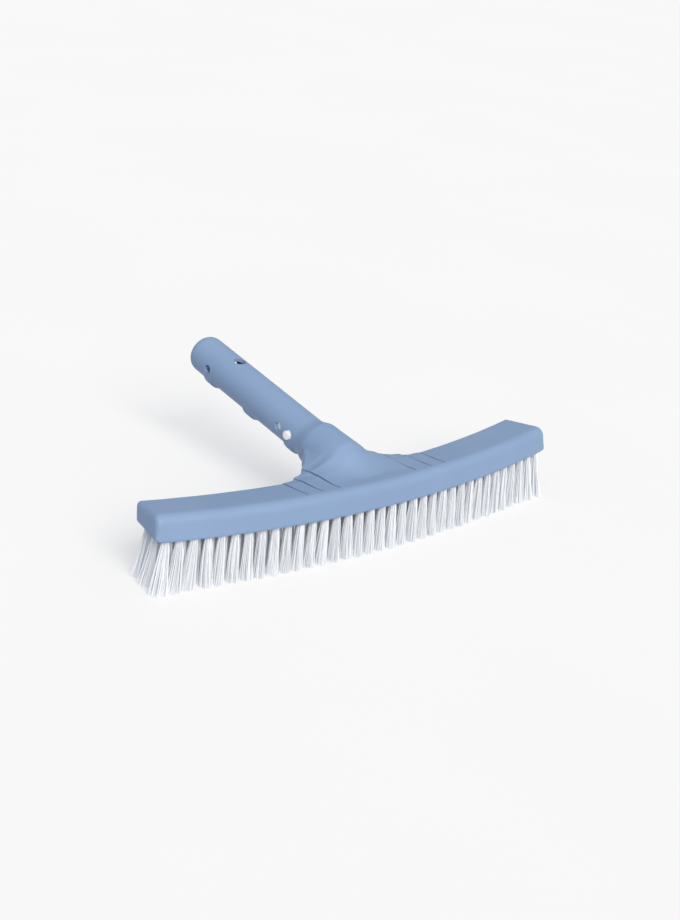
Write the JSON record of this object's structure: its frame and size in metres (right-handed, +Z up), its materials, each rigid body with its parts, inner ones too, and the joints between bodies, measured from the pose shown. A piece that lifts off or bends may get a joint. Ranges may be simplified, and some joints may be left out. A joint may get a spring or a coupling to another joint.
{
  "type": "pool wall brush",
  "caption": "Curved pool wall brush with a hollow pole spigot, stepped shoulders, rows of white bristle tufts and a sprung push-button clip.",
  "frame": {"origin": "on the plane of the bristle tips, at the tip of the middle tuft of the middle row", "axes": "+X along the brush, +Y from the front edge back towards the pole, +Z up, away from the bristle tips; the spigot rises 10 degrees towards +Y"},
  "size_m": [0.441, 0.2676, 0.11],
  "materials": {
    "moulded_body": "satin light blue injection moulding",
    "bristle": "white nylon filament",
    "staple": "plain flat wire",
    "clip": "white acetal"
  },
  "bodies": {
    "brush": {"brush_back": "moulded_body", "tufts_row_1": "bristle", "tufts_row_2": "bristle", "tufts_row_3": "bristle", "tufts_row_4": "bristle", "tufts_row_5": "bristle", "staples_row_1": "staple", "staples_row_2": "staple", "staples_row_3": "staple", "staples_row_4": "staple", "staples_row_5": "staple", "clip_bend": "clip"},
    "button_left": {"clip_arm_left": "clip"},
    "button_right": {"clip_arm_right": "clip"}
  },
  "joints": [
    {"name": "press_left", "type": "hinge", "parent": "brush", "child": "button_left", "pos_m": [-0.0115, 0.14082, 0.07556], "axis": [0, -0.1736, 0.9848], "range_deg": [0, 4], "stiffness_Nm_per_rad": 4, "springref_deg": -2.29},
    {"name": "press_right", "type": "hinge", "parent": "brush", "child": "button_right", "pos_m": [0.0115, 0.14082, 0.07556], "axis": [0, 0.1736, -0.9848], "range_deg": [0, 4], "stiffness_Nm_per_rad": 4, "springref_deg": -2.29}
  ]
}
